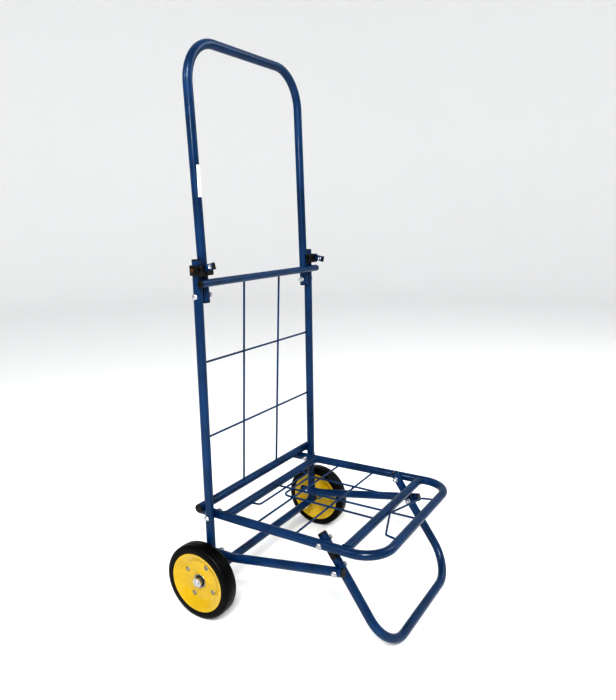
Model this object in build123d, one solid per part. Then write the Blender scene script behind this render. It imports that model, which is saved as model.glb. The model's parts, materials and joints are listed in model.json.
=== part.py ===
from build123d import *
import os
from math import cos, radians, sin, sqrt

# Folding two-wheel hand cart: a tube-and-wire back frame on two disc wheels, a folding
# load platform propped by a U-shaped front leg, two stay arms, and a fold-down handle.
# X runs across the cart, -Y is the loading side, +Z is up, and the floor is z = 0.
# Every piece is drawn from the axle line, which is y = 0 below, and is written AXLE_Y further
# back, so that the origin lies on the floor under the middle of the cart's outline.

# ---- driving dimensions, in millimetres -------------------------------------------
TOTAL_HEIGHT = 1070.0

TUBE_OD = 17.2            # all the main tubes
TUBE_WALL = 1.5
THIN_TUBE_OD = 14.0       # top crossbar
WIRE = 4.0                # grid wires
SIDE_GAP = 0.5            # between tubes that pivot side by side

UPRIGHT_X = 190.5
UPRIGHT_TOP_Z = 685.0
TOP_BAR_Z = 645.0
REAR_BAR_Z = 209.8
BAR_HALF_LENGTH = 200.0
BACK_WIRE_X = 61.0
BACK_WIRE_HEIGHTS = (351.0, 496.0)

PLATFORM_Z = 191.8        # platform tube axis and its pivot
PLATFORM_FRONT_Y = -356.0
PLATFORM_REAR_Y = 38.0
PLATFORM_SPLAY = 4.8      # each side tube opens by this much towards the front
PLATFORM_BEND = 54.0
REAR_CROSSBAR_Y = -24.5
FRONT_CROSSBAR_Y = -287.0
CENTRE_WIRE_X = -4.0
CROSS_WIRE_DROP = 2.5     # the level wires lie this far below the tubes' axes
CROSS_WIRE_Y = {"cross_wire_rear": -91.0, "cross_wire_front": -178.0}
HAIRPIN_Y = -70.0         # rounded rear end of the hairpin wire
HAIRPIN_REAR_X = (-38.0, 72.0)
HAIRPIN_LEAN = -5.0       # sideways run of its legs towards the front
HAIRPIN_BEND = 14.0
STAPLE_Y = -50.0
STAPLE_X = (96.0, 93.0)   # at the crossbar and at its bends
LOOP_Y = -326.0
LOOP_X = (96.0, 88.0)     # at the front tube and at its bends
WIRE_BEND = 7.0

LEG_PIVOT_Y = -241.5
FOOT_Y = -366.5
LEG_BEND = 66.0
LEG_ABOVE_PIVOT = 13.0

ARM_PIVOT_Z = 107.0
ARM_BEND_Y = -36.0
ARM_FRONT_Y = -271.8      # bolt that joins the arm to the leg
ARM_PAST_BOLT = 13.0
ARM_REAR_Y = 14.0

HANDLE_PIVOT_Z = 621.0
HANDLE_BOTTOM_Z = 610.0
HANDLE_LEAN = 0.031       # backwards run per rise
HANDLE_SPLAY = 5.0
HANDLE_BEND = 76.0

WHEEL_R = 75.0
WHEEL_X = 223.0           # middle of the tyre
TYRE_WIDTH = 32.0
RIM_R = 59.5
SHEET = 1.5               # pressed steel of the wheel discs
WEB_OFFSET = 2.5          # the riveted webs lie this far outside the tyre's middle
RIVET_CIRCLE_R = 34.5
RIVET_TURN = 28.0         # angle of the first rivet above level
WEB_R = 40.0              # the disc is flat to here, then flares out to the lip
FLARE_R = 55.6
AXLE_R = 6.0
BEARING_R = 14.0
BEARING_WIDTH = 8.0
AXLE_TIP_X = 240.0

BOLT_R = 3.0
RUNNING = 0.05            # radial clearance of turning fits
FACE_GAP = 0.4            # between a fixed nut and the tube that turns beside it

LATCH_PIVOT = (-15.0, 671.0)
LATCH_LENGTH = 24.0
LATCH_HEIGHT = 11.5
LATCH_SHEET = 3.0
LATCH_TILT = {"left": 13.0, "right": -12.0}
LATCH_BLOCK_Z = (659.0, 677.0)
LATCH_BLOCK_X = (182.0, 202.4)
LATCH_BLOCK_Y = (-21.0, 10.0)
LATCH_LUG_X = (168.0, 185.0)
LATCH_LUG_Y = (-20.6, -7.8)
LATCH_SCREW = (1.0, 668.0)
PIN_R = 2.0
PIN_HEAD = (4.2, 2.4)     # radius and height
SCREW_HEAD = (4.4, 2.6)

# ---- derived dimensions ------------------------------------------------------------
TUBE_R = TUBE_OD / 2
BORE_R = TUBE_R - TUBE_WALL
INNER_X = UPRIGHT_X - TUBE_OD - SIDE_GAP          # handle, platform and arms at their pivots
LEG_LENGTH = sqrt((FOOT_Y - LEG_PIVOT_Y) ** 2 + (PLATFORM_Z - TUBE_R) ** 2)
LEG_DIR = Vector(0, (FOOT_Y - LEG_PIVOT_Y) / LEG_LENGTH, (TUBE_R - PLATFORM_Z) / LEG_LENGTH)
PLATFORM_LEG_X = INNER_X + PLATFORM_SPLAY * LEG_PIVOT_Y / PLATFORM_FRONT_Y
LEG_X = PLATFORM_LEG_X - TUBE_OD - SIDE_GAP
ARM_FRONT_X = LEG_X + TUBE_OD + SIDE_GAP
LEG_BOLT_DISTANCE = (ARM_FRONT_Y - LEG_PIVOT_Y) / LEG_DIR.Y
ARM_FRONT_Z = PLATFORM_Z + LEG_DIR.Z * LEG_BOLT_DISTANCE
HANDLE_X = INNER_X - 0.6                          # keeps the opening handle off the uprights
AXLE_Y = (TUBE_R - FOOT_Y - WHEEL_R) / 2
SIDES = {"left": -1, "right": 1}

os.makedirs("parts", exist_ok=True)


def save(shape, node):
    export_step(shape.moved(Location((0, AXLE_Y, 0))), f"parts/{node}.step")


def save_group(solids, node):
    save(Compound(children=solids), node)


# ---- shared shapes -----------------------------------------------------------------
def rod_along(path, radius):
    """A solid round bar along a path of straight runs and arcs."""
    section = Plane(origin=path @ 0, z_dir=path % 0) * Circle(radius)
    return sweep(section, path=path)


def bent_path(points, radius):
    return FilletPolyline(*points, radius=radius)


def tube_along(path, outer_r=TUBE_R, bore_r=BORE_R):
    """A round tube along a path, open at both ends."""
    return rod_along(path, outer_r) - rod_along(path, bore_r)


def straight(start, end):
    return Edge.make_line(start, end)


def cross_hole(x_low, x_high, y, z, radius=BOLT_R + RUNNING):
    """The cutter for a bolt hole that runs across the cart."""
    hole = Cylinder(radius, x_high - x_low, rotation=(0, 90, 0))
    return Pos((x_low + x_high) / 2, y, z) * hole


def turned(profile, y=0.0, z=0.0, x=0.0, side=1):
    """A turned part on an axis along X. The profile holds (distance out, radius) points."""
    face = make_face(Polyline([(u, r) for u, r in profile], close=True))
    solid = revolve(face, axis=Axis.X)
    if side < 0:
        solid = mirror(solid, about=Plane.YZ)
    return Pos(side * x, y, z) * solid


def end_plug(origin, direction, bore_r=BORE_R, outer_r=TUBE_R):
    """A moulded plug: a shank inside the tube's end and a rounded head outside it."""
    plane = Plane(origin=origin, z_dir=direction)
    head = fillet(Cylinder(outer_r, 2.5, align=(Align.CENTER, Align.CENTER, Align.MIN))
                  .edges().sort_by(Axis.Z)[-1], 1.2)
    shank = Cylinder(bore_r - RUNNING, 5.5, align=(Align.CENTER, Align.CENTER, Align.MAX))
    return plane * (head + shank)


def dome_head(r=6.0, height=4.0):
    """Profile of a cup-square bolt head, seated at distance 0."""
    rise = [(height * sin(radians(a)), r * cos(radians(a))) for a in range(0, 90, 15)]
    return [(0, 0)] + rise + [(height, 0)]


def acorn_nut(r=5.6):
    """Profile of a domed nut, seated at distance 0: a collar below a round cap."""
    cap = [(4.5 + 4.0 * sin(radians(a)), (r - 1.0) * cos(radians(a))) for a in range(0, 90, 15)]
    return [(0, BOLT_R), (0, r), (4.5, r)] + cap + [(8.5, 0), (7.0, 0), (7.0, BOLT_R)]


def bolt(side, head_x, tip_x, y, z):
    """A bolt across the cart: its head is outside at head_x and its tip is at tip_x."""
    head = turned(dome_head(), y, z, head_x + 0.1, side)
    head_x += 0.1
    length = head_x - tip_x
    shank = Pos(side * (head_x - length / 2), y, z) * Cylinder(BOLT_R, length, rotation=(0, 90, 0))
    return head + shank


def nut(side, seat_x, y, z):
    """An acorn nut whose cap points to the middle of the cart."""
    return turned(acorn_nut(), y, z, -seat_x, -side)


# ---- back frame ----------------------------------------------------------------------
def upright(side):
    foot = WHEEL_R + 2.0
    tube = tube_along(straight((0, 0, foot), (0, 0, UPRIGHT_TOP_Z)))
    tube -= Pos(0, 0, WHEEL_R) * Cylinder(TUBE_R, 4 * TUBE_R, rotation=(0, 90, 0))
    for z in (HANDLE_PIVOT_Z, PLATFORM_Z, ARM_PIVOT_Z):
        tube -= cross_hole(-2 * TUBE_R, 2 * TUBE_R, 0, z)
    return Pos(side * UPRIGHT_X, 0, 0) * tube


TOP_BAR_Y = -(TUBE_R + THIN_TUBE_OD / 2)
REAR_BAR_Y = TUBE_OD
THIN_BORE_R = THIN_TUBE_OD / 2 - TUBE_WALL


def across(half_length, y, z):
    return straight((-half_length, y, z), (half_length, y, z))


def back_wires():
    """Two upright wires from the rear bar to the top bar, and two level ones between the tubes."""
    low = (REAR_BAR_Y - 4.0, REAR_BAR_Z + TUBE_R + WIRE / 2 - 1.0)
    high = (TOP_BAR_Y + THIN_TUBE_OD / 2 + WIRE / 2, TOP_BAR_Z - 1.0)
    uprights = [rod_along(straight((x, *low), (x, *high)), WIRE / 2)
                for x in (-BACK_WIRE_X, BACK_WIRE_X)]
    levels = []
    for z, behind in zip(BACK_WIRE_HEIGHTS, (-1, 1)):
        y_here = low[0] + (high[0] - low[0]) * (z - low[1]) / (high[1] - low[1])
        y = y_here + behind * (WIRE + 0.05)
        wire = rod_along(across(UPRIGHT_X, y, z), WIRE / 2)
        for side in SIDES.values():
            wire -= Pos(side * UPRIGHT_X, 0, z) * Cylinder(TUBE_R, 4 * WIRE)
        levels.append(wire)
    return uprights, levels


def box_between(x_range, y_range, z_range):
    low, high = zip(x_range, y_range, z_range)
    middle = [(a + b) / 2 for a, b in zip(low, high)]
    return Pos(*middle) * Box(*(b - a for a, b in zip(low, high)))


def latch_housing(side):
    """A moulded clamp round the upright, with a slot for the lever and a lug before the handle."""
    block = box_between(LATCH_BLOCK_X, LATCH_BLOCK_Y, LATCH_BLOCK_Z)
    block = fillet(block.edges().filter_by(Axis.Z).sort_by(Axis.X)[2:], 6.0)
    lug = box_between(LATCH_LUG_X, LATCH_LUG_Y, LATCH_BLOCK_Z)
    lug = fillet(lug.edges().filter_by(Axis.Z).sort_by(Axis.X)[:2], 2.5)
    z_mid = sum(LATCH_BLOCK_Z) / 2
    body = block + lug
    body -= Pos(UPRIGHT_X, 0, z_mid) * Cylinder(TUBE_R, 40)
    slot_half = LATCH_SHEET / 2 + 0.4
    body -= box_between((UPRIGHT_X - slot_half, UPRIGHT_X + slot_half),
                        (LATCH_BLOCK_Y[0] - 3, 1 - TUBE_R), (z_mid - 20, z_mid + 20))
    body -= cross_hole(LATCH_LUG_X[0] - 5, LATCH_BLOCK_X[1] + 5, *LATCH_PIVOT, radius=PIN_R + RUNNING)
    body -= cross_hole(LATCH_BLOCK_X[1] - 4, LATCH_BLOCK_X[1] + 5, *LATCH_SCREW, radius=PIN_R)
    return body if side > 0 else mirror(body, about=Plane.YZ)


def latch_pin(side):
    outer, inner = LATCH_BLOCK_X[1], LATCH_LUG_X[0]
    head = turned(dome_head(*PIN_HEAD), *LATCH_PIVOT, outer, side)
    tail = turned(dome_head(*PIN_HEAD), *LATCH_PIVOT, -inner, -side)
    pin = cross_hole(inner, outer, *LATCH_PIVOT, radius=PIN_R)
    return head + tail + (pin if side > 0 else mirror(pin, about=Plane.YZ))


def latch_screw(side):
    outer = LATCH_BLOCK_X[1]
    head = turned(dome_head(*SCREW_HEAD), *LATCH_SCREW, outer, side)
    shank = cross_hole(outer - 3.1, outer + 0.2, *LATCH_SCREW, radius=PIN_R - 0.1)
    return head + (shank if side > 0 else mirror(shank, about=Plane.YZ))


def make_frame():
    for name, side in SIDES.items():
        save(upright(side), f"upright_{name}")
        save(latch_housing(side), f"latch_housing_{name}")
    save(tube_along(across(BAR_HALF_LENGTH, TOP_BAR_Y, TOP_BAR_Z), THIN_TUBE_OD / 2, THIN_BORE_R),
         "top_crossbar")
    save(tube_along(across(BAR_HALF_LENGTH, REAR_BAR_Y, REAR_BAR_Z)), "rear_bar")
    plugs = []
    for side in SIDES.values():
        end = side * BAR_HALF_LENGTH
        plugs.append(end_plug((end, REAR_BAR_Y, REAR_BAR_Z), (side, 0, 0)))
        plugs.append(end_plug((end, TOP_BAR_Y, TOP_BAR_Z), (side, 0, 0), THIN_BORE_R, THIN_TUBE_OD / 2))
    save_group(plugs, "bar_plugs")
    tops = [end_plug((side * UPRIGHT_X, 0, UPRIGHT_TOP_Z), (0, 0, 1)) for side in SIDES.values()]
    save_group(tops, "upright_plugs")
    uprights, levels = back_wires()
    save_group(uprights, "back_wires_upright")
    save_group(levels, "back_wires_level")

    bolts, nuts = [], []
    for side in SIDES.values():
        for z, tube_x in ((HANDLE_PIVOT_Z, HANDLE_X), (PLATFORM_Z, INNER_X), (ARM_PIVOT_Z, INNER_X)):
            seat = tube_x - TUBE_R - FACE_GAP
            bolts.append(bolt(side, UPRIGHT_X + TUBE_R, seat - 6.0, 0, z))
            nuts.append(nut(side, seat, 0, z))
    save_group(bolts, "pivot_bolts")
    save_group(nuts, "pivot_nuts")
    save_group([latch_pin(side) for side in SIDES.values()], "latch_pins")
    save_group([latch_screw(side) for side in SIDES.values()], "latch_screws")


# ---- axle ------------------------------------------------------------------------------
def make_axle():
    save(tube_along(across(BAR_HALF_LENGTH, 0, WHEEL_R)), "axle_tube")
    rod = Pos(0, 0, WHEEL_R) * Cylinder(AXLE_R, 2 * AXLE_TIP_X, rotation=(0, 90, 0))
    save(chamfer(rod.edges().filter_by(GeomType.CIRCLE), 1.0), "axle_rod")
    bearing_in = WHEEL_X + WEB_OFFSET + SHEET - BEARING_WIDTH / 2 - 1.5
    bearing_out = bearing_in + BEARING_WIDTH
    spacers, washers, nuts = [], [], []
    for side in SIDES.values():
        length = bearing_in - 0.3 - BAR_HALF_LENGTH
        spacers.append(turned([(0, AXLE_R), (0, 9), (length, 9), (length, AXLE_R)],
                              0, WHEEL_R, BAR_HALF_LENGTH, side))
        washers.append(turned([(0, AXLE_R), (0, 10.5), (1.6, 10.5), (1.6, AXLE_R)],
                              0, WHEEL_R, bearing_out + 0.3, side))
        seat = bearing_out + 1.9
        height = 6.5
        hexagon = extrude(Plane.YZ * RegularPolygon(9.2, 6, major_radius=False), height)
        rounded = turned([(0, 0), (0, 10.6), (height - 1.6, 10.6), (height, 9.0), (height, 0)])
        blank = (hexagon & rounded) - Cylinder(AXLE_R, 40, rotation=(0, 90, 0))
        blank = blank if side > 0 else mirror(blank, about=Plane.YZ)
        nuts.append(Pos(side * seat, 0, WHEEL_R) * blank)
    save_group(spacers, "axle_spacers")
    save_group(washers, "axle_washers")
    save_group(nuts, "axle_nuts")
    return bearing_in


# ---- wheels ----------------------------------------------------------------------------
def disc_profile(outward):
    """Section of one pressed disc: hub collar, flat web, flared wall and rolled lip."""
    web, flare, edge = WEB_OFFSET, 13.2, 14.4
    hub_r = BEARING_R + 0.05
    if outward > 0:
        return [(web, hub_r), (web, WEB_R), (flare, FLARE_R), (edge, RIM_R),
                (edge + SHEET, RIM_R), (flare + SHEET, FLARE_R - 0.8), (web + SHEET, WEB_R - 0.8),
                (web + SHEET, hub_r + SHEET), (web + 4.0, hub_r + SHEET), (web + 4.0, hub_r)]
    return [(web, hub_r), (web, WEB_R), (-flare, FLARE_R), (-edge, RIM_R),
            (-edge - SHEET, RIM_R), (-flare - SHEET, FLARE_R - 0.8), (web - SHEET, WEB_R - 0.8),
            (web - SHEET, hub_r + SHEET), (web - 4.0, hub_r + SHEET), (web - 4.0, hub_r)]


def tyre_shape(side):
    """Solid rubber ring, gripped between the two discs."""
    half = TYRE_WIDTH / 2
    seat = RIM_R + 0.1
    profile = [(WEB_OFFSET - 0.05, WEB_R + 0.4), (13.1, FLARE_R + 0.15), (14.3, seat), (half, seat),
               (half, WHEEL_R), (-half, WHEEL_R), (-half, seat), (-14.3, seat),
               (-13.1, FLARE_R + 0.15)]
    ring = turned(profile, 0, WHEEL_R, WHEEL_X, side)
    rims = ring.edges().filter_by(GeomType.CIRCLE).filter_by(lambda e: e.radius > WHEEL_R - 0.1)
    return fillet(rims, 4.0)


def make_wheels(bearing_in):
    for name, side in SIDES.items():
        place = (0, WHEEL_R, WHEEL_X, side)
        save(tyre_shape(side), f"tyre_{name}")
        save(turned(disc_profile(1), *place), f"wheel_disc_outer_{name}")
        save(turned(disc_profile(-1), *place), f"wheel_disc_inner_{name}")
        rivets = []
        for turn in range(4):
            angle = radians(RIVET_TURN + 90 * turn)
            y, z = -side * RIVET_CIRCLE_R * cos(angle), RIVET_CIRCLE_R * sin(angle)
            shank = [(WEB_OFFSET - SHEET, 0), (WEB_OFFSET - SHEET, 3.8), (WEB_OFFSET - SHEET - 1.8, 2.4),
                     (WEB_OFFSET - SHEET - 2.2, 0)]
            front = [(WEB_OFFSET + SHEET, 0), (WEB_OFFSET + SHEET, 4.2), (WEB_OFFSET + SHEET + 1.5, 3.2),
                     (WEB_OFFSET + SHEET + 2.2, 1.6), (WEB_OFFSET + SHEET + 2.4, 0)]
            rivets += [turned(part, y, WHEEL_R + z, WHEEL_X, side) for part in (shank, front)]
        save_group(rivets, f"wheel_rivets_{name}")
        w = BEARING_WIDTH
        bore = AXLE_R + RUNNING
        bearing = [(0, bore), (0, 8.4), (0.6, 8.6), (0.6, 11.6), (0, 11.8), (0, BEARING_R),
                   (w, BEARING_R), (w, 11.8), (w - 0.6, 11.6), (w - 0.6, 8.6), (w, 8.4), (w, bore)]
        save(turned(bearing, 0, WHEEL_R, bearing_in, side), f"hub_bearing_{name}")


# ---- platform --------------------------------------------------------------------------
def platform_x(y):
    """Distance of a side tube's axis from the middle of the cart."""
    return INNER_X + PLATFORM_SPLAY * y / PLATFORM_FRONT_Y


def side_cutters():
    """Solid bars where the side tubes lie: what is welded to them is cut to their round."""
    ends = (PLATFORM_REAR_Y, PLATFORM_FRONT_Y + PLATFORM_BEND)
    return [rod_along(straight(*((side * platform_x(y), y, PLATFORM_Z) for y in ends)), TUBE_R)
            for side in SIDES.values()]


def bar_cutter(y):
    return rod_along(across(INNER_X, y, PLATFORM_Z), TUBE_R)


def trimmed(piece, cutters):
    for cutter in cutters:
        piece -= cutter
    return piece


def make_platform():
    z = PLATFORM_Z
    rear_x, front_x = platform_x(PLATFORM_REAR_Y), platform_x(PLATFORM_FRONT_Y)
    outline = [(-rear_x, PLATFORM_REAR_Y, z), (-front_x, PLATFORM_FRONT_Y, z),
               (front_x, PLATFORM_FRONT_Y, z), (rear_x, PLATFORM_REAR_Y, z)]
    frame = tube_along(bent_path(outline, PLATFORM_BEND))
    bolts, nuts, plugs = [], [], []
    for side in SIDES.values():
        low, high = sorted((side * 150, side * 190))
        frame -= cross_hole(low, high, 0, z)
        frame -= cross_hole(low, high, LEG_PIVOT_Y, z)
        seat = LEG_X - TUBE_R - FACE_GAP
        bolts.append(bolt(side, PLATFORM_LEG_X + TUBE_R, seat - 6.0, LEG_PIVOT_Y, z))
        nuts.append(nut(side, seat, LEG_PIVOT_Y, z))
        plugs.append(end_plug((side * rear_x, PLATFORM_REAR_Y, z),
                              (side * (rear_x - front_x), PLATFORM_REAR_Y - PLATFORM_FRONT_Y, 0)))
    save(frame, "platform_frame")
    save_group(plugs, "platform_plugs")
    save_group(bolts, "leg_pivot_bolts")
    save_group(nuts, "leg_pivot_nuts")
    sides = side_cutters()
    for node, y in (("platform_rear_crossbar", REAR_CROSSBAR_Y),
                    ("platform_front_crossbar", FRONT_CROSSBAR_Y)):
        save(trimmed(tube_along(across(INNER_X, y, z)), sides), node)

    # grid: two level wires low between the side tubes, and a hairpin lying across them
    rear_bar, middle_bar, front_bar = (bar_cutter(y) for y in (REAR_CROSSBAR_Y, FRONT_CROSSBAR_Y,
                                                               PLATFORM_FRONT_Y))
    low_z = z - CROSS_WIRE_DROP
    top_z = low_z + WIRE + 0.05
    for node, y in CROSS_WIRE_Y.items():
        save(trimmed(rod_along(across(INNER_X, y, low_z), WIRE / 2), sides), node)
    near_x, far_x = HAIRPIN_REAR_X
    hairpin = [(near_x + HAIRPIN_LEAN, FRONT_CROSSBAR_Y, top_z), (near_x, HAIRPIN_Y, top_z),
               (far_x, HAIRPIN_Y, top_z), (far_x + HAIRPIN_LEAN, FRONT_CROSSBAR_Y, top_z)]
    save(rod_along(bent_path(hairpin, HAIRPIN_BEND), WIRE / 2) - middle_bar, "hairpin_wire")
    hairpin_end = Pos(CENTRE_WIRE_X, HAIRPIN_Y, top_z) * Cylinder(WIRE / 2, 40, rotation=(0, 90, 0))
    stops = [(REAR_CROSSBAR_Y, rear_bar), (HAIRPIN_Y, hairpin_end),
             (FRONT_CROSSBAR_Y, middle_bar), (PLATFORM_FRONT_Y, front_bar)]
    centre_wires = []
    for (start_y, start_bar), (end_y, end_bar) in zip(stops, stops[1:]):
        run = straight((CENTRE_WIRE_X, start_y, top_z), (CENTRE_WIRE_X, end_y, top_z))
        centre_wires.append(rod_along(run, WIRE / 2) - start_bar - end_bar)
    save_group(centre_wires, "centre_wires")
    end_x, bend_x = STAPLE_X
    staple = [(-end_x, REAR_CROSSBAR_Y, low_z), (-bend_x, STAPLE_Y, low_z),
              (bend_x, STAPLE_Y, low_z), (end_x, REAR_CROSSBAR_Y, low_z)]
    save(rod_along(bent_path(staple, WIRE_BEND), WIRE / 2) - rear_bar, "rear_staple_wire")
    apex = FRONT_CROSSBAR_Y - TUBE_R - WIRE / 2 - 0.1
    loop_wires = []
    for side in SIDES.values():
        start_x = CENTRE_WIRE_X + side * 2.6
        loop = [(side * LOOP_X[0], PLATFORM_FRONT_Y, z), (side * LOOP_X[1], LOOP_Y, z),
                (start_x, apex, z)]
        loop_wires.append(rod_along(bent_path(loop, WIRE_BEND), WIRE / 2) - front_bar - middle_bar)
    save_group(loop_wires, "front_loop_wire")


# ---- front leg ---------------------------------------------------------------------------
def on_leg(distance, x):
    """A point on the leg's side tube, measured down from the platform pivot."""
    return (x, LEG_PIVOT_Y + LEG_DIR.Y * distance, PLATFORM_Z + LEG_DIR.Z * distance)


def make_leg():
    top = -LEG_ABOVE_PIVOT
    outline = [on_leg(top, -LEG_X), on_leg(LEG_LENGTH, -LEG_X),
               on_leg(LEG_LENGTH, LEG_X), on_leg(top, LEG_X)]
    leg = tube_along(bent_path(outline, LEG_BEND))
    plugs, nuts = [], []
    for side in SIDES.values():
        low, high = sorted((side * 130, side * 180))
        leg -= cross_hole(low, high, LEG_PIVOT_Y, PLATFORM_Z)
        leg -= cross_hole(low, high, ARM_FRONT_Y, ARM_FRONT_Z)
        plugs.append(end_plug(on_leg(top, side * LEG_X), -LEG_DIR))
        seat = LEG_X - TUBE_R
        stud = cross_hole(seat - 6.0, LEG_X + TUBE_R - 0.1, ARM_FRONT_Y, ARM_FRONT_Z, radius=BOLT_R)
        stud = stud if side > 0 else mirror(stud, about=Plane.YZ)
        nuts.append(nut(side, seat, ARM_FRONT_Y, ARM_FRONT_Z) + stud)
    save(leg, "front_leg")
    save_group(plugs, "leg_plugs")
    save_group(nuts, "arm_bolt_nuts")
    sleeve = straight(on_leg(19, -LEG_X), on_leg(35, -LEG_X))
    save(tube_along(sleeve, TUBE_R + 0.22, TUBE_R), "leg_sleeve")


# ---- stay arms ---------------------------------------------------------------------------
def arm_x(y):
    return INNER_X + (ARM_FRONT_X - INNER_X) * y / ARM_FRONT_Y


def make_arms():
    rise = (ARM_FRONT_Z - ARM_PIVOT_Z) / (ARM_FRONT_Y - ARM_BEND_Y)
    tip_y = ARM_FRONT_Y - ARM_PAST_BOLT
    tip_z = ARM_PIVOT_Z + rise * (tip_y - ARM_BEND_Y)
    for name, side in SIDES.items():
        rear = Vector(side * arm_x(ARM_REAR_Y), ARM_REAR_Y, ARM_PIVOT_Z)
        elbow = Vector(side * arm_x(ARM_BEND_Y), ARM_BEND_Y, ARM_PIVOT_Z)
        tip = Vector(side * arm_x(tip_y), tip_y, tip_z)
        arm = tube_along(bent_path([rear, elbow, tip], 120))
        low, high = sorted((side * 150, side * 200))
        arm -= cross_hole(low, high, 0, ARM_PIVOT_Z)
        arm -= cross_hole(low, high, ARM_FRONT_Y, ARM_FRONT_Z)
        save(arm, f"arm_{name}")
        plugs = [end_plug(rear, rear - elbow), end_plug(tip, tip - elbow)]
        save_group(plugs, f"arm_plugs_{name}")
        save(bolt(side, ARM_FRONT_X + TUBE_R, ARM_FRONT_X - TUBE_R + 0.1, ARM_FRONT_Y, ARM_FRONT_Z),
             f"arm_bolt_{name}")


# ---- handle ------------------------------------------------------------------------------
def handle_point(side, z):
    rise = (z - HANDLE_PIVOT_Z) / (TOTAL_HEIGHT - TUBE_R - HANDLE_PIVOT_Z)
    return (side * (HANDLE_X + HANDLE_SPLAY * rise), HANDLE_LEAN * (z - HANDLE_PIVOT_Z), z)


def make_handle():
    top = TOTAL_HEIGHT - TUBE_R
    outline = [handle_point(-1, HANDLE_BOTTOM_Z), handle_point(-1, top),
               handle_point(1, top), handle_point(1, HANDLE_BOTTOM_Z)]
    handle = tube_along(bent_path(outline, HANDLE_BEND))
    plugs = []
    for side in SIDES.values():
        low, high = sorted((side * 150, side * 200))
        handle -= cross_hole(low, high, 0, HANDLE_PIVOT_Z)
        foot = Vector(*handle_point(side, HANDLE_BOTTOM_Z))
        plugs.append(end_plug(foot, foot - Vector(*handle_point(side, top))))
    save(handle, "handle")
    save_group(plugs, "handle_plugs")
    start, end = (handle_point(-1, z) for z in (795.0, 850.0))
    band = tube_along(straight(start, end), TUBE_R + 0.2, TUBE_R)
    window = Pos(start[0], start[1] - 10, 822) * Rot(0, 0, -28) * Box(11, 20, 80)
    save(band & window, "handle_label")


# ---- latch levers ------------------------------------------------------------------------
def lever_place(side, tilt):
    y, z = LATCH_PIVOT
    return Pos(side * UPRIGHT_X, y, z) * Rot(-tilt, 0, 0)


def make_levers():
    half = LATCH_HEIGHT / 2
    for name, side in SIDES.items():
        place = lever_place(side, LATCH_TILT[name])
        bar = Pos(0, -LATCH_LENGTH / 2, 0) * Box(LATCH_SHEET, LATCH_LENGTH, LATCH_HEIGHT)
        bar += Cylinder(half, LATCH_SHEET, rotation=(0, 90, 0))
        bar -= Cylinder(PIN_R + RUNNING, 10, rotation=(0, 90, 0))
        bar -= Pos(0, -LATCH_LENGTH + 6, 0) * Cylinder(2.0, 10, rotation=(0, 90, 0))
        save(place * bar, f"latch_lever_{name}")
        rivet = turned(dome_head(4.4, 2.2), x=LATCH_SHEET / 2) + turned(dome_head(4.4, 2.2),
                                                                      x=LATCH_SHEET / 2, side=-1)
        rivet += Cylinder(1.95, LATCH_SHEET + 0.2, rotation=(0, 90, 0))
        save(place * Pos(0, -LATCH_LENGTH + 6, 0) * rivet, f"latch_rivet_{name}")
        cap = Pos(0, -LATCH_LENGTH - 1.5, 0) * Box(LATCH_SHEET + 1.6, 3, LATCH_HEIGHT + 1)
        save(place * fillet(cap.edges().filter_by(Axis.X), 1.2), f"latch_cap_{name}")


make_frame()
make_wheels(make_axle())
make_platform()
make_leg()
make_arms()
make_handle()
make_levers()
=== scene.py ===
import json
from math import cos, hypot, pi, radians, sin, sqrt

import bmesh
import bpy
from mathutils import Matrix, Vector


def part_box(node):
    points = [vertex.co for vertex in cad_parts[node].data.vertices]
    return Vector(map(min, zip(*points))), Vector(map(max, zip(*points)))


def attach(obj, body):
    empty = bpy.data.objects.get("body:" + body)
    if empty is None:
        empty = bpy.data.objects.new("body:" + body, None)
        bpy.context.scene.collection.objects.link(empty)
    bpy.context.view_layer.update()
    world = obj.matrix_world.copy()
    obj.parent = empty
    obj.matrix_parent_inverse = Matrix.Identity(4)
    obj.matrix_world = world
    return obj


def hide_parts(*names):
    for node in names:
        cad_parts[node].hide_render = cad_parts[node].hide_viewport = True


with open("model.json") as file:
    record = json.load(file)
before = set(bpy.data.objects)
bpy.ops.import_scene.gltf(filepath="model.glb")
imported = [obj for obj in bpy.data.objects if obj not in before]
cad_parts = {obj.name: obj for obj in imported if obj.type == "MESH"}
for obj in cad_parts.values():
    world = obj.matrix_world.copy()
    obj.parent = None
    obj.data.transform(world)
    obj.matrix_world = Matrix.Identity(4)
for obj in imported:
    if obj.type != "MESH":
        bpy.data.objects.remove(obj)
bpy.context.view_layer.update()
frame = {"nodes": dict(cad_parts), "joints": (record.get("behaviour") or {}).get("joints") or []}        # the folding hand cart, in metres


# ---- the studio ------------------------------------------------------------------------
# A pale matt board lies under the cart and sweeps up round it, in a plain white room. Soft light
# comes from two overhead panels, and two small lamps give the gloss its bright spots.
MM = 0.001


def linear(hex_colour):
    """An sRGB hex colour as the linear RGBA that a shader takes."""
    parts = [int(hex_colour[i:i + 2], 16) / 255 for i in (0, 2, 4)]
    return tuple(c / 12.92 if c <= 0.04045 else ((c + 0.055) / 1.055) ** 2.4 for c in parts) + (1,)


def start_material(name, **finish):
    """A new material with uniform values on its shader, each named with _ for a space."""
    material = bpy.data.materials.new(name)
    material.use_nodes = True
    shader = material.node_tree.nodes["Principled BSDF"]
    for socket, value in finish.items():
        shader.inputs[socket.replace("_", " ")].default_value = value
    return material


def add_node(material, kind, settings=None, links=None):
    """Adds a shader node, sets its values and links its inputs from other nodes' sockets."""
    node = material.node_tree.nodes.new("ShaderNode" + kind)
    for name, value in (settings or {}).items():
        if isinstance(name, int) or name in node.inputs:
            node.inputs[name].default_value = value
        else:
            setattr(node, name, value)
    for name, socket in (links or {}).items():
        material.node_tree.links.new(socket, node.inputs[name])
    return node


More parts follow.
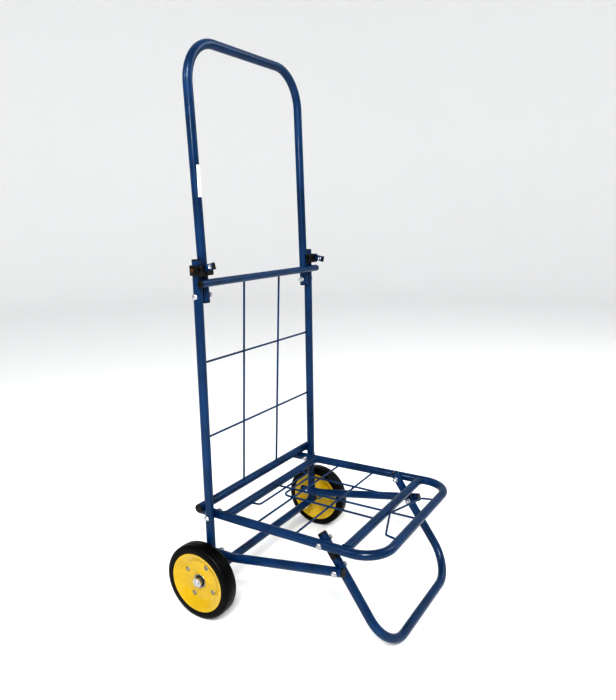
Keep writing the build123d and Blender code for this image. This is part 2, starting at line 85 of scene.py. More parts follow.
board_material = start_material("matt_studio_board", Base_Color=linear("F5F5F5"), Roughness=0.75)
board_place = add_node(board_material, "TexCoord")
board_grain = add_node(board_material, "TexNoise", {"Scale": 40.0, "Detail": 3.0},
                       {"Vector": board_place.outputs["Object"]})
board_bump = add_node(board_material, "Bump", {"Strength": 0.05, "Distance": 0.2 * MM},
                      {"Height": board_grain.outputs["Fac"]})
board_shader = board_material.node_tree.nodes["Principled BSDF"]
board_material.node_tree.links.new(board_bump.outputs["Normal"], board_shader.inputs["Normal"])
board_mesh = bpy.data.meshes.new("studio_board")
board_work = bmesh.new()
# a flat floor that curves up into a round wall, as (radius, height) in metres
board_line = [(0, 0), (5.0, 0)] + [(5.0 + 1.6 * sin(radians(a)), 1.6 - 1.6 * cos(radians(a)))
                                   for a in range(6, 91, 6)] + [(6.6, 3.6)]
board_points = [board_work.verts.new((x, 0, z)) for x, z in board_line]
board_edges = [board_work.edges.new(pair) for pair in zip(board_points, board_points[1:])]
bmesh.ops.spin(board_work, geom=board_points + board_edges, cent=(0, 0, 0), axis=(0, 0, 1),
               angle=2 * pi, steps=96, use_merge=True)
bmesh.ops.remove_doubles(board_work, verts=board_work.verts, dist=0.001)
bmesh.ops.recalc_face_normals(board_work, faces=board_work.faces)
board_work.to_mesh(board_mesh)
board_mesh.polygons.foreach_set("use_smooth", [True] * len(board_mesh.polygons))
board_work.free()
board_mesh.materials.append(board_material)
studio_board = bpy.data.objects.new("studio_board", board_mesh)
bpy.context.collection.objects.link(studio_board)

room = bpy.data.worlds.new("white_room")
room.use_nodes = True
room.node_tree.nodes["Background"].inputs["Color"].default_value = linear("FAFBFC")
room.node_tree.nodes["Background"].inputs["Strength"].default_value = 0.6
bpy.context.scene.world = room
bpy.context.scene.view_settings.view_transform = "Standard"
bpy.context.scene.view_settings.look = "High Contrast"
bpy.context.scene.view_settings.exposure = -0.12

STUDIO_LIGHTS = (  # name, place, width in metres, power in watts
    ("overhead_left", (-2.1, -1.2, 2.4), 0.9, 84),
    ("overhead_right", (1.6, -1.6, 2.2), 1.4, 20),
    ("lamp_back", (-1.8, 0.8, 1.8), 0.2, 9),
    ("lamp_side", (-2.1, -0.9, 1.25), 0.2, 9),
)
for name, place, width, power in STUDIO_LIGHTS:
    light = bpy.data.lights.new(name, "AREA")
    light.size = width
    light.energy = power
    lamp = bpy.data.objects.new(name, light)
    lamp.location = place
    aim = Vector((0, 0, 0.4)) - lamp.location
    lamp.rotation_euler = aim.to_track_quat("-Z", "Y").to_euler()
    bpy.context.collection.objects.link(lamp)

CAMERA_YAW, CAMERA_PITCH, CAMERA_ROLL = radians(31.43), radians(-11.98), radians(-0.94)
camera = bpy.data.objects.new("camera", bpy.data.cameras.new("camera"))
look = Vector((cos(CAMERA_PITCH) * cos(CAMERA_YAW), cos(CAMERA_PITCH) * sin(CAMERA_YAW),
               sin(CAMERA_PITCH)))
turn = look.to_track_quat("-Z", "Y").to_matrix() @ Matrix.Rotation(CAMERA_ROLL, 3, "Z")
camera.rotation_euler = turn.to_euler()
camera.location = (-1.0595, -0.6112, 0.7535)
camera.data.lens = 32.59
camera.data.shift_x = -0.0004
camera.data.shift_y = 0.0057
bpy.context.collection.objects.link(camera)
bpy.context.scene.camera = camera


# ---- tubes and wires of the frame, platform, leg, arms and handle ----------------------
# Mild steel tube and 4 mm wire, welded, then dipped and stoved in blue enamel. The coat is
# glossy, a little wavy like orange peel, and thinner and duller in places.
def finish_surface(material, tints, roughness, patch_mm, detail, grain, stretch=(1, 1, 1)):
    """Gives a finish its patches of colour and gloss, duller rubbed spots and a raised grain.

    tints are the darkest and the lightest patches' colours, and roughness is the lightest and
    the darkest patches'. grain is its size and height in mm and its strength. stretch flattens
    the patches along X, Y and Z.
    """
    noise_range = {"From Min": 0.3, "From Max": 0.7}     # nearly all of a noise lies in it
    rubbed_mm, rubbed_detail, rubbed_roughness = 9, 6, 0.14
    tree = material.node_tree
    shader = tree.nodes["Principled BSDF"]
    place = add_node(material, "TexCoord").outputs["Object"]
    flattened = add_node(material, "Mapping", {"Scale": stretch}, {"Vector": place})

    def noise(size_mm, levels, vector):
        return add_node(material, "TexNoise", {"Scale": 1 / (size_mm * MM), "Detail": levels},
                        {"Vector": vector}).outputs["Fac"]

    patches = noise(patch_mm, detail, flattened.outputs["Vector"])
    share = add_node(material, "MapRange", noise_range, {"Value": patches})
    colour = add_node(material, "Mix", {"data_type": "RGBA", 6: linear(tints[0]), 7: linear(tints[1])},
                      {0: share.outputs["Result"]})
    gloss = add_node(material, "MapRange",
                     {**noise_range, "To Min": roughness[1], "To Max": roughness[0]},
                     {"Value": patches})
    rubbed = add_node(material, "MapRange",
                      {"From Min": 0.6, "From Max": 0.7, "To Max": rubbed_roughness},
                      {"Value": noise(rubbed_mm, rubbed_detail, place)})
    dulled = add_node(material, "Math", {"operation": "ADD"},
                      {0: gloss.outputs["Result"], 1: rubbed.outputs["Result"]})
    size_mm, height_mm, strength = grain
    raised = add_node(material, "Bump", {"Strength": strength, "Distance": height_mm * MM},
                      {"Height": noise(size_mm, 2, place)})
    tree.links.new(colour.outputs[2], shader.inputs["Base Color"])
    tree.links.new(dulled.outputs["Value"], shader.inputs["Roughness"])
    tree.links.new(raised.outputs["Normal"], shader.inputs["Normal"])


blue_enamel = start_material("blue_stove_enamel", IOR=1.5, Specular_IOR_Level=0.2,
                             Coat_Weight=0.18, Coat_Roughness=0.08)
# the real orange peel is about 1.5 mm across, and is drawn at 4 mm so that it shows
finish_surface(blue_enamel, ("00223F", "003056"), (0.4, 0.26), 45, 4, (4, 0.05, 0.6))

BLUE_NODES = ("upright_left", "upright_right", "top_crossbar", "rear_bar", "axle_tube",
              "back_wires_upright", "back_wires_level", "platform_frame",
              "platform_rear_crossbar", "platform_front_crossbar", "cross_wire_rear",
              "cross_wire_front", "hairpin_wire", "centre_wires", "rear_staple_wire",
              "front_loop_wire", "front_leg", "arm_left", "arm_right", "handle")


def dress(node, material):
    """Gives a CAD node its finish."""
    mesh = frame["nodes"][node].data
    mesh.materials.clear()
    mesh.materials.append(material)


for node in BLUE_NODES:
    dress(node, blue_enamel)


# ---- welds -----------------------------------------------------------------------------
# Where a tube's end meets another tube a rippled bead runs round it, and each wire is held by
# a small round dab at its ends and crossings. All of them lie under the enamel.
def finish_piece(name, work, material, body, replaced=(), sharp=35):
    """Makes a finished bmesh a piece that rides on a body, with the given finish."""
    bmesh.ops.remove_doubles(work, verts=work.verts, dist=0.002 * MM)
    bmesh.ops.dissolve_degenerate(work, edges=work.edges, dist=0.001 * MM)
    bmesh.ops.recalc_face_normals(work, faces=work.faces)
    mesh = bpy.data.meshes.new(name)
    work.to_mesh(mesh)
    work.free()
    mesh.polygons.foreach_set("use_smooth", [True] * len(mesh.polygons))
    mesh.set_sharp_from_angle(angle=radians(sharp))
    mesh.materials.append(material)
    piece = bpy.data.objects.new(name, mesh)
    bpy.context.collection.objects.link(piece)
    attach(piece, body)
    if replaced:
        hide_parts(*replaced)
    return piece


SIDES = {"left": -1, "right": 1}


def add_ring(work, centre, radius, thick, ripples=0):
    """A torus round the X axis, with its section swelling and thinning ripples times."""
    before = set(work.verts)
    section = bmesh.ops.create_circle(work, segments=10, radius=thick,
                                      matrix=Matrix.Translation((0, 0, radius)))["verts"]
    bmesh.ops.rotate(work, verts=section, cent=(0, 0, radius), matrix=Matrix.Rotation(pi / 2, 3, "X"))
    edges = list({e for v in section for e in v.link_edges})
    bmesh.ops.spin(work, geom=section + edges, cent=(0, 0, 0), axis=(1, 0, 0), angle=2 * pi,
                   steps=max(48, 4 * ripples), use_merge=True)
    ring = [v for v in work.verts if v not in before]
    for vert in ring:
        out = Vector((0, vert.co.y, vert.co.z)).normalized() * radius
        swell = 1 + 0.16 * cos(ripples * Vector((vert.co.y, vert.co.z)).angle_signed(Vector((1, 0)), 0))
        vert.co = out + (vert.co - out) * swell + Vector(centre)
    return ring


def add_dab(work, centre, half_sizes_mm):
    """A round blob of weld metal, with its half-lengths along X, Y and Z."""
    place = Matrix.Translation(centre) @ Matrix.Diagonal((*(half * MM for half in half_sizes_mm), 1))
    bmesh.ops.create_icosphere(work, subdivisions=2, radius=1.0, matrix=place)


# half-lengths of the dabs in mm, at a tube's end, at the wires' ends and where wires cross
TUBE_BEAD = (6, 2.2, 2.2)
CROSS_WIRE_END, BACK_WIRE_END = (1.8, 3.2, 3.0), (1.7, 3.0, 3.0)
LONG_WIRE_END, UPRIGHT_WIRE_END = (3.0, 1.6, 2.8), (2.9, 2.6, 2.4)
LEVEL_CROSSING, UPRIGHT_CROSSING = (2.7, 2.7, 1.6), (2.7, 1.6, 2.7)


def axis_of(node):
    """(y, z, radius) of a straight bar that runs across the cart."""
    low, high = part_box(node)
    return (low.y + high.y) / 2, (low.z + high.z) / 2, (high.z - low.z) / 2


tube_radius = axis_of("rear_bar")[2]
work = bmesh.new()
for node in ("platform_rear_crossbar", "platform_front_crossbar"):
    y, z, radius = axis_of(node)
    # the side tube's round hollows the bar's end, so its lowest x is at the bar's own axis
    side_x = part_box(node)[1].x
    tube_axis_x = side_x + sqrt(tube_radius ** 2 - radius ** 2 + 1e-9)
    for side in SIDES.values():
        for vert in add_ring(work, (0, y, z), radius + 0.2 * MM, 1.5 * MM, ripples=18):
            drop = min(abs(vert.co.z - z), tube_radius * 0.98)
            vert.co.x += side * (tube_axis_x - sqrt(tube_radius ** 2 - drop ** 2) - 0.6 * MM)
finish_piece("platform_tube_welds", work, blue_enamel, "platform")

axle_y, axle_z, axle_tube_r = axis_of("axle_tube")
work = bmesh.new()
upright_x = (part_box("upright_right")[0].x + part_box("upright_right")[1].x) / 2
for side in SIDES.values():
    foot = add_ring(work, (0, 0, 0), tube_radius + 0.2 * MM, 1.6 * MM, ripples=18)
    bmesh.ops.rotate(work, verts=foot, cent=(0, 0, 0), matrix=Matrix.Rotation(pi / 2, 3, "Y"))
    for vert in foot:
        across = min(abs(vert.co.y), axle_tube_r * 0.98)
        vert.co += Vector((side * upright_x, axle_y, axle_z + sqrt(axle_tube_r ** 2 - across ** 2)))
for node, toward in (("rear_bar", -1), ("top_crossbar", 1)):
    y, z, radius = axis_of(node)
    for side in SIDES.values():
        for up in (-1, 1):
            bead = (side * upright_x, y + toward * radius * 0.72, z + up * radius * 0.72)
            add_dab(work, bead, TUBE_BEAD)
finish_piece("back_tube_welds", work, blue_enamel, "frame")

work = bmesh.new()
wire_radius = axis_of("cross_wire_rear")[2]
rows = [axis_of("cross_wire_rear"), axis_of("cross_wire_front")]
for (y, z, _), node in zip(rows, ("cross_wire_rear", "cross_wire_front")):
    end_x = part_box(node)[1].x
    for side in SIDES.values():
        add_dab(work, (side * (end_x - 0.8 * MM), y, z), CROSS_WIRE_END)
hairpin_low, hairpin_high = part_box("hairpin_wire")
centre_low, centre_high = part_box("centre_wires")
centre_x = (centre_low.x + centre_high.x) / 2
middle_bar = axis_of("platform_front_crossbar")
rear_crossbar = axis_of("platform_rear_crossbar")
hairpin_left, hairpin_right = hairpin_low.x + wire_radius, hairpin_high.x - wire_radius
lean = 5 * MM            # the hairpin's legs lean this far over their length
crossings = []
for y, z, radius in rows:
    along = (hairpin_high.y - y) / (hairpin_high.y - hairpin_low.y)
    crossings += [(hairpin_left + lean * (1 - along), y, z + radius), (centre_x, y, z + radius),
                  (hairpin_right - lean * along, y, z + radius)]
for x, y, z in crossings:
    add_dab(work, (x, y, z), LEVEL_CROSSING)
wire_top = (centre_low.z + centre_high.z) / 2
bar_back, bar_front = middle_bar[0] + middle_bar[2], middle_bar[0] - middle_bar[2]
ends = [(hairpin_left, bar_back), (hairpin_right - lean, bar_back), (centre_x, bar_back),
        (centre_x, bar_front), (centre_x, rear_crossbar[0] - rear_crossbar[2]),
        (centre_x, centre_low.y + 0.6 * MM)]
for x, y in ends:
    add_dab(work, (x, y, wire_top), LONG_WIRE_END)
for node in ("rear_staple_wire", "front_loop_wire"):
    low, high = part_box(node)
    y = high.y if node == "rear_staple_wire" else low.y
    for x in (low.x + wire_radius, high.x - wire_radius):
        add_dab(work, (x, y, (low.z + high.z) / 2), LONG_WIRE_END)
finish_piece("platform_wire_welds", work, blue_enamel, "platform")

work = bmesh.new()
back_low, back_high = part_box("back_wires_upright")
level_low, level_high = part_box("back_wires_level")
level_heights = (level_low.z + wire_radius, level_high.z - wire_radius)
level_depths = (level_low.y + wire_radius, level_high.y - wire_radius)
for side in SIDES.values():
    x = side * (back_high.x - wire_radius)
    add_dab(work, (x, back_high.y - wire_radius, back_low.z + 1.5 * MM), UPRIGHT_WIRE_END)
    add_dab(work, (x, back_low.y + wire_radius, back_high.z - 1.5 * MM), UPRIGHT_WIRE_END)
    for z, y in zip(level_heights, level_depths):
        end_x = side * (upright_x - sqrt(tube_radius ** 2 - (y - axle_y) ** 2) - 0.6 * MM)
        add_dab(work, (end_x, y, z), BACK_WIRE_END)
        share = (z - back_low.z) / (back_high.z - back_low.z)
        wire_y = back_high.y + (back_low.y - back_high.y) * share
        add_dab(work, (x, (y + wire_y) / 2, z), UPRIGHT_CROSSING)
finish_piece("back_wire_welds", work, blue_enamel, "frame")


# ---- tyres -----------------------------------------------------------------------------
# Each tyre is a solid ring of black rubber, moulded in two halves, so that a fine flash line
# runs round its crown. It is clamped between the two discs, and its skin has a soft sheen.
def add_spun(work, outline, place, steps=72):
    """Spins a closed outline of (along the axis, radius) points, in mm, and puts it in place."""
    before = set(work.verts)
    points = [work.verts.new((along * MM, 0, max(radius, 0) * MM)) for along, radius in outline]
    edges = [work.edges.new(pair) for pair in zip(points, points[1:] + points[:1])]
    bmesh.ops.spin(work, geom=points + edges, cent=(0, 0, 0), axis=(1, 0, 0), angle=2 * pi,
                   steps=steps, use_merge=True)
    made = [v for v in work.verts if v not in before]
    bmesh.ops.remove_doubles(work, verts=made, dist=0.001 * MM)
    made = [v for v in work.verts if v not in before]
    bmesh.ops.transform(work, matrix=place, verts=made)
    return made


def soften(work, width_mm, limit=28, segments=3, chosen=None):
    """Rounds the edges that are sharper than limit degrees."""
    sharp = [e for e in chosen or work.edges
             if e.is_manifold and e.calc_face_angle(0) > radians(limit)]
    bmesh.ops.bevel(work, geom=sharp, offset=width_mm * MM, offset_type="OFFSET",
                    segments=segments, profile=0.5, affect="EDGES", material=-1,
                    clamp_overlap=True)


def outward(side, x, y, z):
    """A place whose X axis points away from the middle of the cart."""
    flip = Matrix.Diagonal((side, 1, 1, 1))
    return Matrix.Translation((x, y, z)) @ flip


rubber = start_material("solid_moulded_rubber", IOR=1.5, Specular_IOR_Level=0.12)
finish_surface(rubber, ("030303", "0A0A0B"), (0.46, 0.3), 30, 4, (2, 0.04, 0.5))

for name, side in SIDES.items():
    low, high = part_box(f"tyre_{name}")
    hub = (low + high) / 2
    half_width = (high.x - low.x) / 2 / MM
    crown = (high.z - low.z) / 2 / MM
    work = bmesh.new()
    outline = [(2.5, 40.6), (13.0, 55.9), (14.2, 59.8), (half_width - 0.4, 59.9),
               (half_width, 62), (half_width, 68.5), (half_width - 1.6, crown - 2.6),
               (half_width - 5.0, crown - 0.7), (6, crown - 0.25), (0.7, crown - 0.15), (0, crown),
               (-0.7, crown - 0.15), (-6, crown - 0.25), (5.0 - half_width, crown - 0.7),
               (1.6 - half_width, crown - 2.6), (-half_width, 68.5), (-half_width, 62),
               (0.4 - half_width, 59.9), (-14.2, 59.8), (-13.0, 55.9)]
    add_spun(work, outline, outward(side, *hub), steps=128)
    finish_piece(f"rubber_tyre_{name}", work, rubber, f"wheel_{name}",
                 (f"tyre_{name}",), sharp=60)


# ---- wheel discs -----------------------------------------------------------------------
# Two dished discs of 1.5 mm pressed steel, back to back, with a rolled lip that holds the tyre
# and a collar round the bearing. They are sprayed in glossy yellow enamel.
yellow_enamel = start_material("yellow_stove_enamel", IOR=1.5, Specular_IOR_Level=0.3,
                               Coat_Weight=0.45, Coat_Roughness=0.06)
finish_surface(yellow_enamel, ("AA8C02", "B59602"), (0.3, 0.22), 25, 3, (4, 0.04, 0.5))

SHEET = 1.5
WEB = 2.5                # the riveted webs lie this far outside the tyre's middle
for name, side in SIDES.items():
    low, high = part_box(f"tyre_{name}")
    hub = (low + high) / 2
    discs = {
        "outer": [(WEB, 14.1), (WEB, 40), (13.2, 55.6), (14.0, 59.3), (15.4, 59.7), (15.9, 58.9),
                  (15.2, 56.6), (14.7, 54.8), (WEB + SHEET, 39.2), (WEB + SHEET, 20.5),
                  (WEB + SHEET + 0.9, 19.3), (WEB + SHEET + 0.9, 15.9), (WEB + 3.9, 15.6),
                  (WEB + 3.9, 14.1)],
        "inner": [(WEB, 14.1), (WEB, 40), (-13.2, 55.6), (-14.0, 59.3), (-15.4, 59.7),
                  (-15.9, 58.9), (-15.2, 56.6), (-14.7, 54.8), (WEB - SHEET, 39.2),
                  (WEB - SHEET, 20.5), (WEB - SHEET - 0.9, 19.3), (WEB - SHEET - 0.9, 15.9),
                  (WEB - 3.9, 15.6), (WEB - 3.9, 14.1)]}
    for face, outline in discs.items():
        work = bmesh.new()
        add_spun(work, outline, outward(side, *hub), steps=96)
        bend = [e for e in work.edges
                if all(38 * MM < hypot(v.co.y - hub.y, v.co.z - hub.z) < 41 * MM for v in e.verts)]
        soften(work, 1.6, limit=12, segments=4, chosen=bend)
        soften(work, 0.35, limit=24, segments=2)
        finish_piece(f"yellow_disc_{face}_{name}", work, yellow_enamel, f"wheel_{name}",
                     (f"wheel_disc_{face}_{name}",), sharp=50)


# ---- wheel rivets ----------------------------------------------------------------------
# Four steel rivets hold the two webs together. Their heads were closed before the plating
# dulled, so they are a flat grey, with a warm cast painted in as a painted reflection of the yellow
# enamel round them.
rivet_steel = start_material("dull_zinc_rivet_steel", Metallic=1.0)
# the warm tints are a painted reflection of the yellow discs round the rivets
finish_surface(rivet_steel, ("7C776A", "A39D8C"), (0.5, 0.32), 3, 3, (0.8, 0.03, 0.5))

RIVET_CIRCLE = 34.5
for name, side in SIDES.items():
    low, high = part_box(f"tyre_{name}")
    hub = (low + high) / 2
    work = bmesh.new()
    for quarter in range(4):
        angle = radians(28 + 90 * quarter)
        y = hub.y - side * RIVET_CIRCLE * cos(angle) * MM
        z = hub.z + RIVET_CIRCLE * sin(angle) * MM
        head = [(0, 0), (0, 4.8), (0.5, 4.9), (1.3, 4.2), (2.0, 2.7), (2.3, 1.3), (2.35, 0)]
        tail = [(0, 0), (0, 3.7), (-0.7, 3.6), (-1.6, 2.6), (-2.0, 0)]
        add_spun(work, head, outward(side, hub.x + side * (WEB + SHEET) * MM, y, z), 24)
        add_spun(work, tail, outward(side, hub.x + side * (WEB - SHEET) * MM, y, z), 24)
    finish_piece(f"web_rivets_{name}", work, rivet_steel, f"wheel_{name}",
                 (f"wheel_rivets_{name}",))


# ---- hub bearings ----------------------------------------------------------------------
# A deep-groove ball bearing is pressed into each hub: ground inner and outer rings with a
# dark rubber seal between them.
ring_steel = start_material("ground_bearing_steel", Metallic=1.0)
finish_surface(ring_steel, ("7E8286", "A4A7AB"), (0.36, 0.2), 6, 2, (0.6, 0.01, 0.4), (1, 8, 8))
seal_rubber = start_material("bearing_seal_rubber", IOR=1.52)
finish_surface(seal_rubber, ("101114", "202126"), (0.5, 0.34), 4, 2, (0.8, 0.02, 0.5))

for name, side in SIDES.items():
    low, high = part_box(f"hub_bearing_{name}")
    centre = (low + high) / 2
    half = (high.x - low.x) / 2 / MM
    work = bmesh.new()
    rings = ([(-half, 11.9), (-half, 13.7), (0.3 - half, 14.0), (half - 0.3, 14.0), (half, 13.7),
              (half, 11.9)],
             [(-half, 6.3), (-half, 8.3), (half, 8.3), (half, 6.3), (half - 0.25, 6.05),
              (0.25 - half, 6.05)])
    for outline in rings:
        add_spun(work, outline, outward(side, *centre), 64)
    finish_piece(f"bearing_rings_{name}", work, ring_steel, f"wheel_{name}",
                 (f"hub_bearing_{name}",))
    work = bmesh.new()
    for face in (-1, 1):
        seal = [(face * (half - 0.3), 8.35), (face * (half - 0.3), 9.0), (face * (half - 0.7), 9.6),
                (face * (half - 0.7), 10.9), (face * (half - 0.3), 11.4), (face * (half - 0.3), 11.85),
                (face * (half - 1.5), 11.85), (face * (half - 1.5), 8.35)]
        add_spun(work, seal, outward(side, *centre), 64)
    finish_piece(f"bearing_seals_{name}", work, seal_rubber, f"wheel_{name}")


# ---- axle, washers and axle nuts -------------------------------------------------------
# A bright-zinc steel rod runs through the axle tube, and its threaded tips stand out a little.
# Outside each wheel it carries a pressed washer, whose zinc has gone dull, and a hexagon nut.
bright_zinc = start_material("bright_zinc_plate", Metallic=1.0)
finish_surface(bright_zinc, ("9A9DA1", "C4C6C9"), (0.36, 0.2), 5, 3, (1.0, 0.01, 0.5))


def add_hexagon(work, across_mm, height_mm, place, bore_mm=None):
    """A hexagon nut or head, standing on X = 0 of its place, with both faces chamfered."""
    before = set(work.verts)
    blank = bmesh.ops.create_circle(work, cap_ends=True, segments=6,
                                    radius=across_mm / 2 / cos(pi / 6) * MM)["verts"]
    face = blank[0].link_faces[0]
    grown = bmesh.ops.extrude_face_region(work, geom=[face])["geom"]
    top = [v for v in grown if isinstance(v, bmesh.types.BMVert)]
    bmesh.ops.translate(work, verts=top, vec=(0, 0, height_mm * MM))
    bmesh.ops.recalc_face_normals(work, faces=list({f for v in blank for f in v.link_faces}
                                                   | {f for v in top for f in v.link_faces}))
    rims = [e for e in work.edges if set(e.verts) <= set(top) or set(e.verts) <= set(blank)]
    bmesh.ops.bevel(work, geom=rims, offset=0.7 * MM, offset_type="OFFSET", segments=2,
                    profile=0.5, affect="EDGES", material=-1, clamp_overlap=True)
    made = [v for v in work.verts if v not in before]
    lie = Matrix.Rotation(pi / 2, 4, "Y")
    bmesh.ops.transform(work, matrix=place @ lie, verts=made)
    return made


dulled_zinc = start_material("dulled_zinc_plate", Metallic=1.0)
finish_surface(dulled_zinc, ("434548", "67696C"), (0.5, 0.34), 5, 3, (1.0, 0.01, 0.5))
work, washers = bmesh.new(), bmesh.new()
washer_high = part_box("axle_washers")[1]
nut_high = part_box("axle_nuts")[1]
rod_low, rod_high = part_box("axle_rod")
rod_radius = (rod_high.z - rod_low.z) / 2 / MM
nut_height, washer_height = 6.5, 1.6
for name, side in SIDES.items():
    washer = [(0, rod_radius + 0.1), (0, 10.4), (0.4, 10.7), (1.3, 10.7), (washer_height, 10.3),
              (washer_height, rod_radius + 0.1)]
    washer_x = washer_high.x / MM - washer_height
    add_spun(washers, washer, outward(side, side * washer_x * MM, axle_y, axle_z), 48)
    nut_x = nut_high.x / MM - nut_height
    add_hexagon(work, 18.2, nut_height, outward(side, side * nut_x * MM, axle_y, axle_z))
finish_piece("pressed_axle_washers", washers, dulled_zinc, "frame",
             ("axle_washers",), sharp=30)
finish_piece("hexagon_axle_nuts", work, bright_zinc, "frame", ("axle_nuts",),
             sharp=30)
work = bmesh.new()
tip = rod_high.x / MM
end = [(tip - 4.0, rod_radius), (tip - 2.4, rod_radius), (tip - 2.0, 5.4), (tip - 1.5, 5.9),
       (tip - 1.0, 5.4), (tip - 0.6, 5.5), (tip, 4.7)]
rod = [(0, rod_radius)] + end + [(tip, 0), (-tip, 0)] + [(-x, r) for x, r in reversed(end)]
add_spun(work, rod, outward(1, 0, axle_y, axle_z), 40)
finish_piece("threaded_axle_rod", work, bright_zinc, "frame", ("axle_rod",))
dress("axle_spacers", bright_zinc)


# ---- pivot bolts and domed nuts ---------------------------------------------------------
# M6 cup-head bolts join the tubes, with their heads outside and domed nuts inside. All of them
# are plated in bright zinc, which takes small sharp highlights.
joints = {joint["name"]: joint for joint in frame["joints"]}
CUP = [(0, 0), (0, 5.6), (0.35, 5.95), (1.2, 5.8), (2.4, 4.9), (3.4, 3.3), (3.9, 1.6), (4.0, 0)]
DOME = [(4.6, 0), (4.6, 4.9), (5.6, 4.85), (7.0, 4.1), (8.0, 2.6), (8.45, 1.2), (8.5, 0)]
FLANGE = [(0, 3.1), (0, 5.5), (0.3, 5.7), (0.9, 5.7), (1.2, 5.3), (1.2, 3.1)]
CUP_HEIGHT = 4
THREAD_IN_NUT = 6        # a bolt's thread goes this far past the face that its nut sits on


def add_bolt(work, side, head_x, tip_x, y, z):
    """An M6 bolt whose cup head sits at head_x, with its thread toward the middle."""
    add_spun(work, CUP, outward(side, side * head_x, y, z), 32)
    length = (tip_x - head_x) / MM
    shank = [(0, 0), (0, 3.0), (length, 3.0), (length, 0)]
    add_spun(work, shank, outward(side, side * head_x, y, z), 20)


def add_domed_nut(work, side, seat_x, y, z):
    """A flanged hexagon nut with a dome over the bolt's tip, sitting at seat_x."""
    place = outward(-side, side * seat_x, y, z)
    add_spun(work, FLANGE, place, 32)
    add_hexagon(work, 9.6, 4.6, place)
    add_spun(work, DOME, place, 32)


bolt_head_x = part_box("upright_right")[1].x + 0.1 * MM
nut_seat_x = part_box("pivot_nuts")[1].x
bolts, nuts = bmesh.new(), bmesh.new()
for joint in ("handle_fold", "platform_fold", "arm_left_fold"):
    y, z = joints[joint]["pos_m"][1:]
    # the handle's tubes stand 0.6 mm nearer the middle than the platform's
    nearer = 0.6 * MM if joint == "handle_fold" else 0
    for side in SIDES.values():
        add_bolt(bolts, side, bolt_head_x, nut_seat_x - THREAD_IN_NUT * MM, y, z)
        add_domed_nut(nuts, side, nut_seat_x - nearer, y, z)
finish_piece("frame_pivot_bolts", bolts, bright_zinc, "frame", ("pivot_bolts",))
finish_piece("frame_domed_nuts", nuts, bright_zinc, "frame", ("pivot_nuts",), sharp=30)

leg_head_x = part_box("leg_pivot_bolts")[1].x - CUP_HEIGHT * MM
leg_seat_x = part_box("leg_pivot_nuts")[1].x
y, z = joints["leg_fold"]["pos_m"][1:]
bolts, nuts = bmesh.new(), bmesh.new()
for side in SIDES.values():
    add_bolt(bolts, side, leg_head_x, leg_seat_x - THREAD_IN_NUT * MM, y, z)
    add_domed_nut(nuts, side, leg_seat_x, y, z)
finish_piece("leg_bolts", bolts, bright_zinc, "platform", ("leg_pivot_bolts",))
finish_piece("leg_domed_nuts", nuts, bright_zinc, "platform",
             ("leg_pivot_nuts",), sharp=30)

nuts = bmesh.new()
for name, side in SIDES.items():
    low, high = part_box(f"arm_bolt_{name}")
    y, z = (low.y + high.y) / 2, (low.z + high.z) / 2
    head_x = max(abs(low.x), abs(high.x)) - CUP_HEIGHT * MM
    inner_x = min(abs(low.x), abs(high.x))
    bolts = bmesh.new()
    add_bolt(bolts, side, head_x, inner_x, y, z)
    finish_piece(f"arm_cup_bolt_{name}", bolts, bright_zinc, f"arm_{name}",
                 (f"arm_bolt_{name}",))
    stud_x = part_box("arm_bolt_nuts")[1].x
    seat_x = leg_seat_x + 0.4 * MM
    stud_end = (seat_x - stud_x) / MM - THREAD_IN_NUT
    stud = [(0, 0), (0, 3.0), (stud_end, 3.0), (stud_end, 0)]
    add_spun(nuts, stud, outward(side, side * stud_x, y, z), 20)
    add_domed_nut(nuts, side, seat_x, y, z)
finish_piece("arm_domed_nuts", nuts, bright_zinc, "leg", ("arm_bolt_nuts",), sharp=30)


# ---- end plugs and the leg's sleeve ------------------------------------------------------
# Black polyethylene plugs close every tube end, and a thin black sleeve is fitted on the left
# leg only. The plastic is satin, with the fine grain of its mould.
black_plastic = start_material("moulded_black_polyethylene", IOR=1.5, Specular_IOR_Level=0.25)
finish_surface(black_plastic, ("050506", "0D0D0F"), (0.5, 0.36), 12, 3, (0.9, 0.03, 0.6))
for node in ("bar_plugs", "upright_plugs", "platform_plugs", "leg_plugs", "arm_plugs_left",
             "arm_plugs_right", "handle_plugs", "leg_sleeve"):
    dress(node, black_plastic)


# ---- latch housings ----------------------------------------------------------------------
# A block of black plastic is moulded round each upright, slotted for its lever, with a lug in
# front of the handle. Its edges are rounded by the mould.
def softened_copy(name, node, width_mm, material, body):
    """A CAD node's own shape with its hard edges rounded."""
    work = bmesh.new()
    work.from_mesh(frame["nodes"][node].data)
    bmesh.ops.remove_doubles(work, verts=work.verts, dist=0.002 * MM)
    bmesh.ops.dissolve_limit(work, angle_limit=radians(1), verts=work.verts, edges=work.edges)
    soften(work, width_mm, limit=40, segments=3)
    return finish_piece(name, work, material, body, (node,), sharp=50)


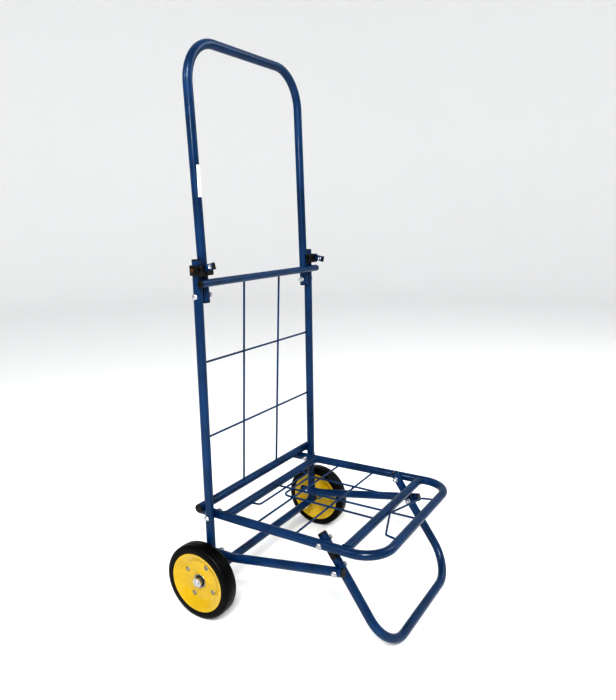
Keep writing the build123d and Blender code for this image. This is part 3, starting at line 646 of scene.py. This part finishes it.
for name in SIDES:
    softened_copy(f"latch_block_{name}", f"latch_housing_{name}", 0.6, black_plastic, "frame")


# ---- latch levers, their eyelets, caps, pins and screws -----------------------------------
# Each lever is a strip of 3 mm steel plate in the frame's blue enamel, with an open zinc eyelet
# near its free end and a black cap pushed over it. It turns on a blackened pin through the
# block, and a brown-passivated screw clamps the block to the upright.
black_oxide = start_material("blackened_pin_steel", Metallic=1.0)
finish_surface(black_oxide, ("0E0E10", "1E1F22"), (0.5, 0.34), 4, 3, (0.8, 0.02, 0.5))
yellow_zinc = start_material("yellow_passivated_zinc", Metallic=1.0)
finish_surface(yellow_zinc, ("3E2615", "6A4728"), (0.5, 0.3), 4, 3, (0.8, 0.02, 0.5))
for name, side in SIDES.items():
    softened_copy(f"latch_strip_{name}", f"latch_lever_{name}", 0.5, blue_enamel, f"latch_{name}")
    softened_copy(f"strip_cap_{name}", f"latch_cap_{name}", 0.5, black_plastic, f"latch_{name}")
    low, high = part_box(f"latch_rivet_{name}")
    centre = (low + high) / 2
    half = (high.x - low.x) / 2 / MM
    work = bmesh.new()
    eyelet = [(half - 2.1, 2.2), (half - 0.6, 2.3), (half - 0.1, 2.8), (half, 3.3),
              (half - 0.3, 3.9), (half - 1.2, 4.3), (half - 2.1, 4.2)]
    for face in (-1, 1):
        add_spun(work, eyelet, outward(face, *centre), 36)
    barrel = [(2.0 - half, 1.2), (2.0 - half, 2.25), (half - 2.0, 2.25), (half - 2.0, 1.2)]
    add_spun(work, barrel, outward(1, *centre), 24)
    finish_piece(f"strip_eyelet_{name}", work, bright_zinc, f"latch_{name}",
                 (f"latch_rivet_{name}",))
dress("latch_pins", black_oxide)
dress("latch_screws", yellow_zinc)


# ---- label ---------------------------------------------------------------------------------
# A blank white vinyl label is wrapped round the front of the handle's left tube. It is satin
# and very slightly uneven, like film that has been rubbed down by hand.
vinyl = start_material("white_vinyl_label", IOR=1.5)
finish_surface(vinyl, ("DCDDDA", "EEEFEC"), (0.42, 0.3), 20, 2, (3, 0.02, 0.4))
dress("handle_label", vinyl)
